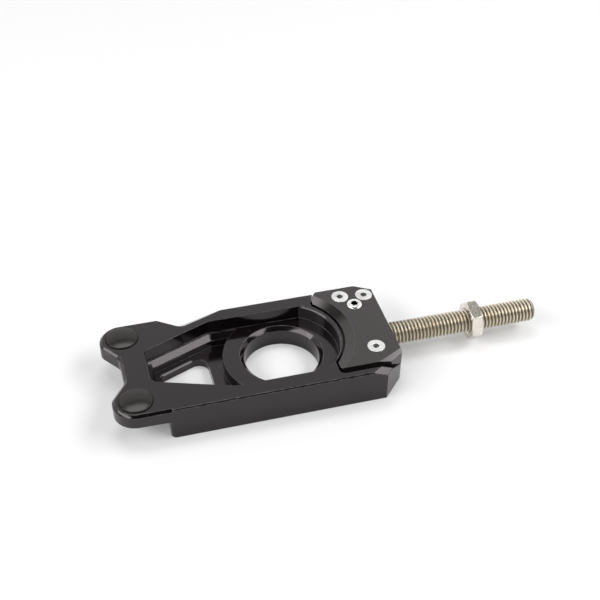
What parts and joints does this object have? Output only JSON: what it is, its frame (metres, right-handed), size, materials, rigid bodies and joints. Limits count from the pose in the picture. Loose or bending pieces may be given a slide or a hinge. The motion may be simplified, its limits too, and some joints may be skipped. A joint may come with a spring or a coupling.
{
  "type": "motorcycle chain adjuster",
  "caption": "Chain adjuster block for a motorcycle's rear axle, with a bolted clamp plate, a threaded stud and a lock nut.",
  "frame": {"origin": "centre of the axle bore on the block's bottom face", "axes": "+Z along the axle bore, away from the bottom face; +X along the stud, towards its free end; +Y towards the notched long side"},
  "size_m": [0.1471, 0.0434, 0.0139],
  "materials": {
    "anodised_block": "black anodised, satin",
    "anodised_plate": "black anodised, satin",
    "stainless_stud": "rolled stainless thread",
    "stainless_nut": "bright stainless",
    "screw_steel": "bright stainless",
    "plug_plastic": "glossy black"
  },
  "bodies": {
    "block_body": {"axle_block": "anodised_block", "clamp_plate": "anodised_plate", "adjuster_stud": "stainless_stud", "plate_screw_far_inner": "screw_steel", "plate_screw_far_outer": "screw_steel", "plate_screw_near": "screw_steel", "button_screw": "screw_steel", "plug_far": "plug_plastic", "plug_near": "plug_plastic"},
    "nut_body": {"lock_nut": "stainless_nut"}
  },
  "joints": [
    {"name": "nut_travel", "type": "slide", "parent": "block_body", "child": "nut_body", "axis": [1, 0, 0], "range_m": [-0.028, 0.0185]}
  ]
}
